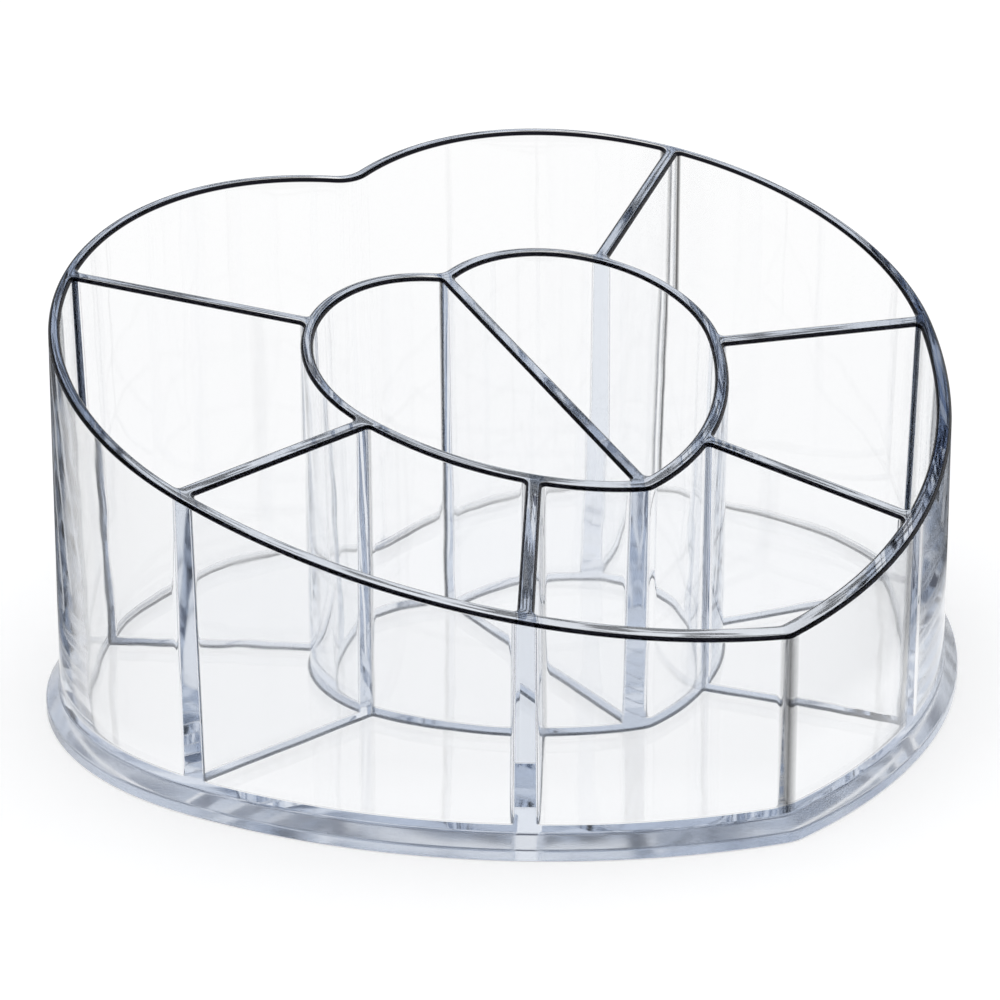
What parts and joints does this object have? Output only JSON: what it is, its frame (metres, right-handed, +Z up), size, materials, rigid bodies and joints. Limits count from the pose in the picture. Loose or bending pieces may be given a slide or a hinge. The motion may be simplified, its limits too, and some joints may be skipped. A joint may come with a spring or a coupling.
{
  "type": "vanity organizer",
  "caption": "Clear heart-shaped vanity organizer with a sloping rim, an inner heart-shaped cup and straight dividers between the two walls.",
  "frame": {"origin": "bottom centre of the whole part, on the surface it stands on", "axes": "+Z up; +Y from the low tip to the high lobes and the cleft between them; +X across, to the right seen from the tip; the part is its own mirror image in X = 0"},
  "size_m": [0.1898, 0.1654, 0.0886],
  "materials": {
    "clear_plastic": "polished"
  },
  "bodies": {
    "root": {"base_plate": "clear_plastic", "outer_wall_left": "clear_plastic", "outer_wall_right": "clear_plastic", "inner_wall_left": "clear_plastic", "inner_wall_right": "clear_plastic", "centre_divider": "clear_plastic", "divider_left_back": "clear_plastic", "divider_left_middle": "clear_plastic", "divider_left_front": "clear_plastic", "divider_right_back": "clear_plastic", "divider_right_middle": "clear_plastic", "divider_right_front": "clear_plastic"}
  },
  "joints": []
}
